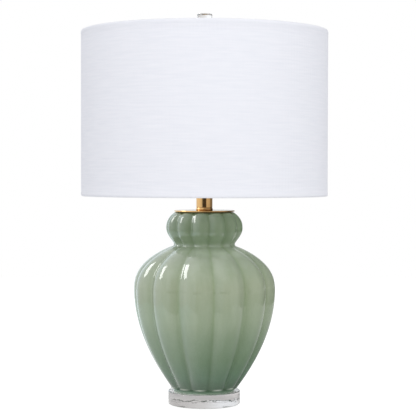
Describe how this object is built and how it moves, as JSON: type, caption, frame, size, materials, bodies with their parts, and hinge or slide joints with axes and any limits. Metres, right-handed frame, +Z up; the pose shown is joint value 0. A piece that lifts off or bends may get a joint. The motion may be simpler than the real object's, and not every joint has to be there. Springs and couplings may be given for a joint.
{
  "type": "table lamp",
  "caption": "Gourd table lamp with a lobed green ceramic body, clear disc base, brass neck, harp and white linen drum shade.",
  "frame": {"origin": "centre of the lamp's footprint, on the surface it stands on", "axes": "+Z up along the lamp's axis, -Y towards the front, +X to the right; the harp lies in the XZ plane and the cord outlet is at the back"},
  "size_m": [0.381, 0.3808, 0.6044],
  "materials": {
    "clear_silicone": "clear, soft, satin",
    "clear_acrylic": "clear, polished, cast",
    "zinc_steel": "zinc plated",
    "brass": "plain, satin",
    "aged_brass": "antique, satin lacquered",
    "celadon_glaze": "high-gloss sage green glaze",
    "black_rubber": "matt",
    "insulating_paper": "pressed, matt",
    "black_phenolic": "moulded, satin",
    "bulb_aluminium": "pressed thread, bright",
    "black_glass": "black, glossy",
    "frosted_glass": "frosted white",
    "clear_glass": "clear",
    "lead_wire": "drawn wire",
    "white_painted_wire": "white powder coat",
    "white_styrene": "matt sheet",
    "white_linen": "plain weave with slubs"
  },
  "bodies": {
    "lamp": {"bumper_feet": "clear_silicone", "acrylic_base": "clear_acrylic", "foot_washer": "zinc_steel", "foot_nut": "brass", "threaded_rod": "zinc_steel", "gourd_body": "celadon_glaze", "cord_bushing": "black_rubber", "cap_cushion": "black_rubber", "brass_cap": "aged_brass", "cap_nut": "brass", "neck_collar": "aged_brass", "neck_tube": "aged_brass", "neck_check_ring": "aged_brass", "harp_saddle": "brass", "lock_washer": "zinc_steel", "holder_cap": "brass", "set_screw": "zinc_steel", "holder_shell": "brass", "paper_insulator": "insulating_paper", "switch_core": "black_phenolic", "terminal_screws": "brass", "screw_shell": "brass", "centre_contact": "brass"},
    "switch": {"switch_shaft": "brass", "switch_knob": "black_phenolic"},
    "bulb": {"bulb_cap": "bulb_aluminium", "bulb_insulator": "black_glass", "bulb_contact": "zinc_steel", "bulb_glass": "frosted_glass", "bulb_stem": "clear_glass", "bulb_filament": "lead_wire"},
    "harp": {"harp_wire": "brass"},
    "left_sleeve": {"sleeve_left": "brass"},
    "right_sleeve": {"sleeve_right": "brass"},
    "stud": {"swivel_stud": "brass"},
    "shade": {"shade_spider": "white_painted_wire", "shade_bottom_ring": "white_painted_wire", "shade_lining": "white_styrene", "shade_fabric": "white_linen"},
    "finial": {"finial_foot": "aged_brass", "finial_disc": "clear_acrylic"}
  },
  "joints": [
    {"name": "switch_turn", "type": "hinge", "parent": "lamp", "child": "switch", "pos_m": [0, -0.0185, 0.36305], "axis": [0, -1, 0], "continuous": true},
    {"name": "bulb_lift", "type": "slide", "parent": "lamp", "child": "bulb", "axis": [0, 0, 1], "range_m": [0, 0.026]},
    {"name": "harp_lift", "type": "slide", "parent": "lamp", "child": "harp", "axis": [0, 0, 1], "range_m": [0, 0.013]},
    {"name": "left_sleeve_slide", "type": "slide", "parent": "harp", "child": "left_sleeve", "axis": [0, 0, 1], "range_m": [0, 0.013]},
    {"name": "right_sleeve_slide", "type": "slide", "parent": "harp", "child": "right_sleeve", "axis": [0, 0, 1], "range_m": [0, 0.013]},
    {"name": "shade_swivel", "type": "hinge", "parent": "harp", "child": "stud", "pos_m": [0, 0, 0.552], "axis": [0, 0, 1], "continuous": true},
    {"name": "shade_lift", "type": "slide", "parent": "stud", "child": "shade", "axis": [0, 0, 1], "range_m": [0, 0.02]},
    {"name": "finial_lift", "type": "slide", "parent": "shade", "child": "finial", "axis": [0, 0, 1], "range_m": [0, 0.014]}
  ]
}
